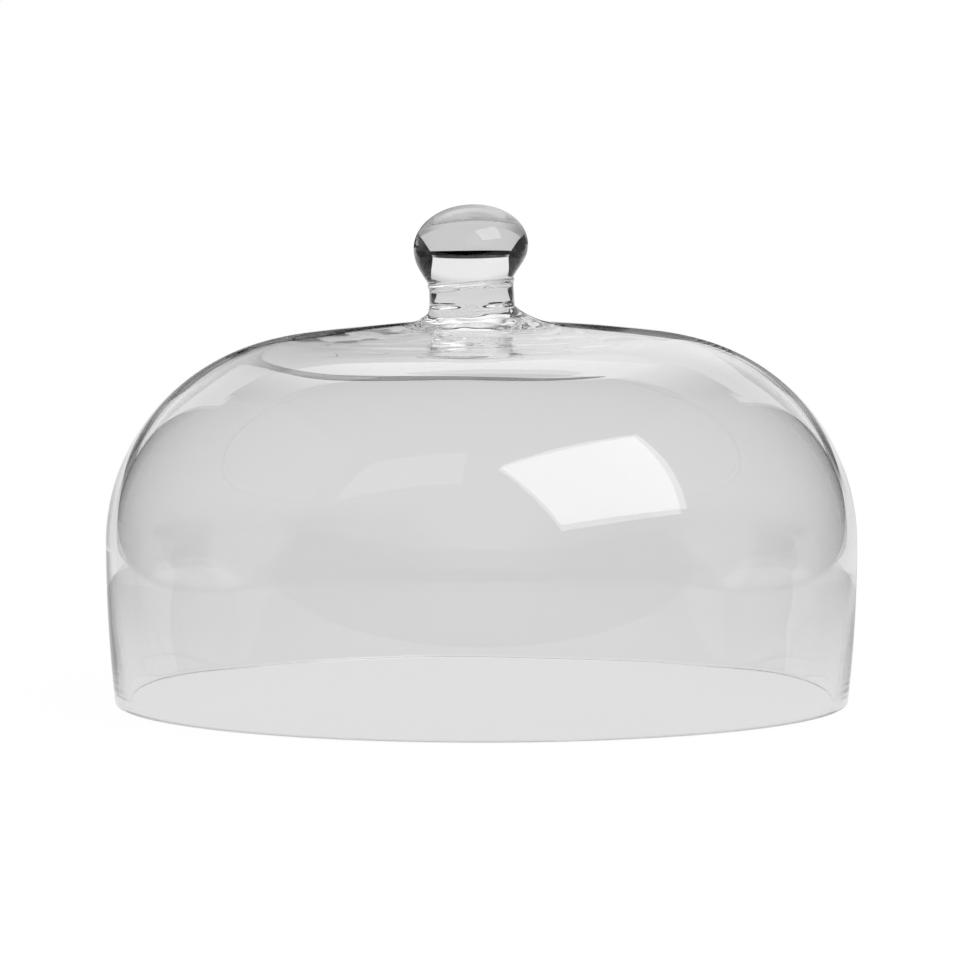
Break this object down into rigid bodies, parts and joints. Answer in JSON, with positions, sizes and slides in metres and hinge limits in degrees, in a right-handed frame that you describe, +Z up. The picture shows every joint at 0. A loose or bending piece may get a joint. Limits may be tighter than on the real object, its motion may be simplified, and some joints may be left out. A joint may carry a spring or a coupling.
{
  "type": "glass dome",
  "caption": "Clear glass dome with a round shoulder, a low crown and a flattened ball knob on a short flared stem, lifted by hand to cover food.",
  "frame": {"origin": "centre of the flat ground rim, on the surface that the dome stands on", "axes": "+Z up along the bell's axis towards the knob, -X towards the side that the knob is set off to"},
  "size_m": [0.3, 0.3, 0.1995],
  "materials": {
    "bell_glass": "fire-polished clear glass",
    "knob_glass": "fire-polished clear glass"
  },
  "bodies": {
    "root": {"dome_bell": "bell_glass", "knob_foot": "knob_glass", "knob_neck": "knob_glass", "neck_ring": "knob_glass", "knob_ball": "knob_glass"}
  },
  "joints": []
}
